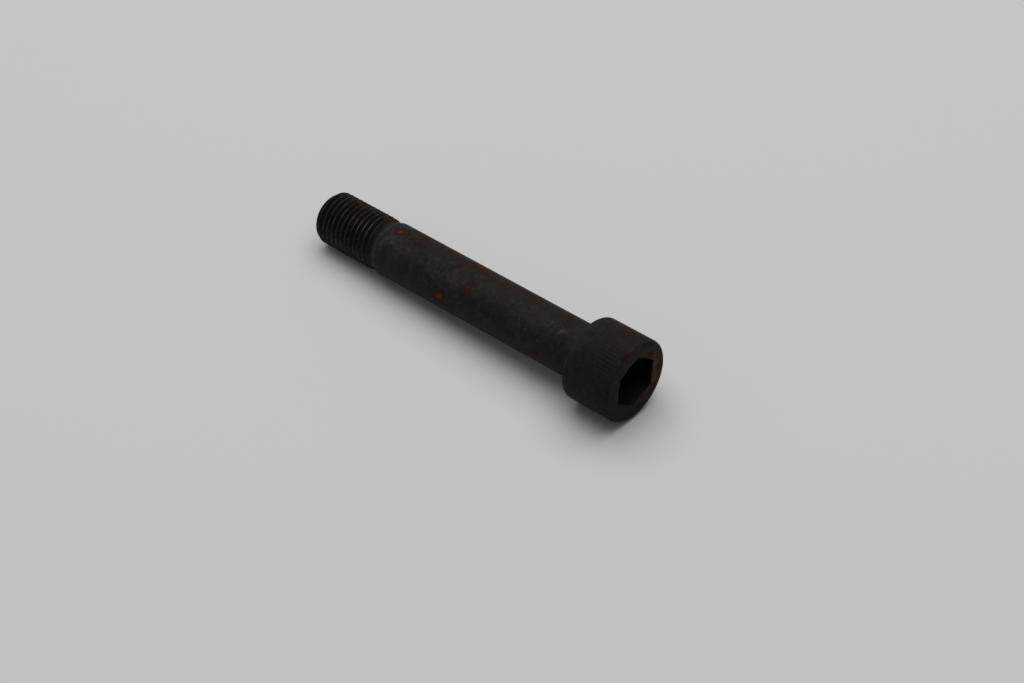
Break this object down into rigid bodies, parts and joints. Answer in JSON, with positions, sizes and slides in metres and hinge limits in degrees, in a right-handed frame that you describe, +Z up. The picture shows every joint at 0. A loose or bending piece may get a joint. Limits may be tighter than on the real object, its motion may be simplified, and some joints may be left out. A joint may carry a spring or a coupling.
{
  "type": "hex socket cap screw",
  "caption": "Long socket head cap screw with a knurled round head, a hexagonal key socket, a plain shank and a short fine right-hand thread; clamps parts together.",
  "frame": {"origin": "on the ground under the middle of the lying screw", "axes": "+X along the screw towards its head, level with the ground; +Z up; the screw's own axis rises 2.49 degrees towards the head, because the head's rim and the thread's end both touch the ground"},
  "size_m": [0.0996, 0.0212, 0.0217],
  "materials": {
    "black_oxide_steel": "matte black oxide, worn dull, with specks of rust"
  },
  "bodies": {
    "root": {"screw": "black_oxide_steel"}
  },
  "joints": []
}
